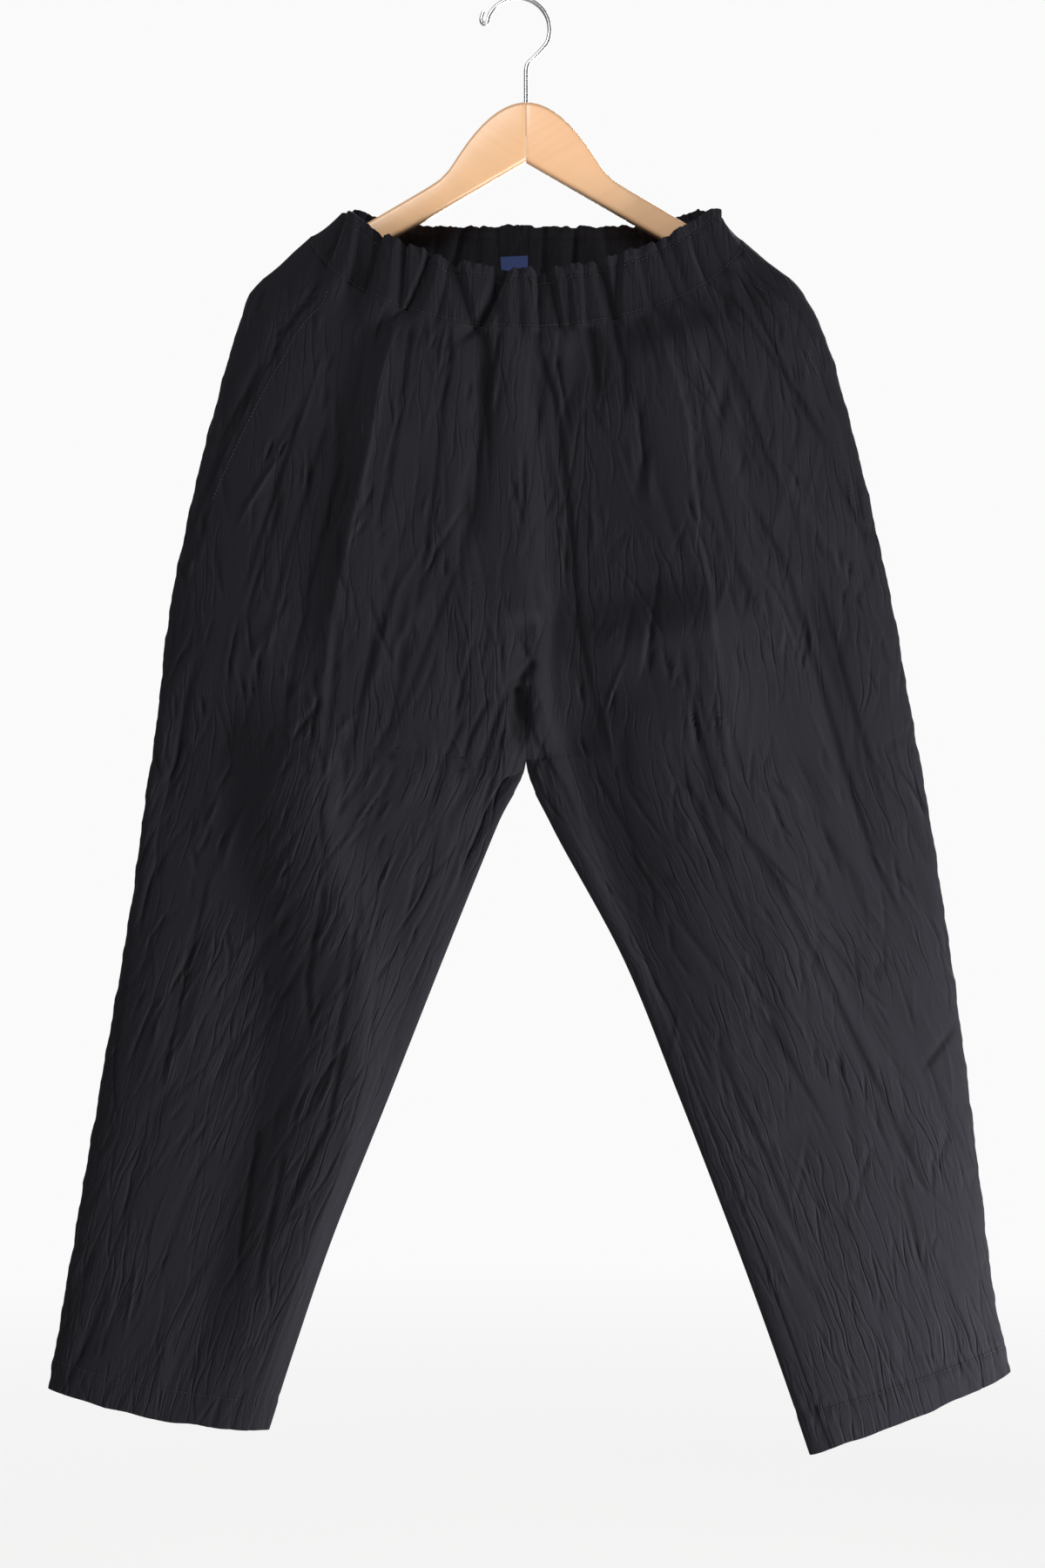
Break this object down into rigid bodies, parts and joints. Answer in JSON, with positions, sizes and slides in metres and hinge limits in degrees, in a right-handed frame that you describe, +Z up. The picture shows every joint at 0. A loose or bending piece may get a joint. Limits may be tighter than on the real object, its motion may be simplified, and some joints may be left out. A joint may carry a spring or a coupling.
{
  "type": "tapered trousers on a wooden hanger",
  "caption": "Pull-on tapered trousers with a gathered elastic waist and slant pockets, hung open at the waist over a wooden hanger with a wire hook.",
  "frame": {"origin": "inside of the top of the hanger's wire hook, where a rail or peg carries it", "axes": "+Z up along the hook's stem, -Y out of the front of the trousers, +X towards the wearer's left leg"},
  "size_m": [0.74, 0.0641, 1.1212],
  "materials": {
    "cloth": "matt crinkled dark navy cotton",
    "waistband": "matt gathered dark navy cotton",
    "label": "woven navy label, blank",
    "wood": "pale wood, satin varnish",
    "wire": "bright chromed wire"
  },
  "bodies": {
    "root": {"front_right": "cloth", "front_left": "cloth", "back_right": "cloth", "back_left": "cloth", "pocket_facing_right": "cloth", "pocket_facing_left": "cloth", "waistband_front": "waistband", "waistband_back": "waistband", "label": "label", "hanger_arm_right": "wood", "hanger_arm_left": "wood", "hanger_hook": "wire"}
  },
  "joints": []
}
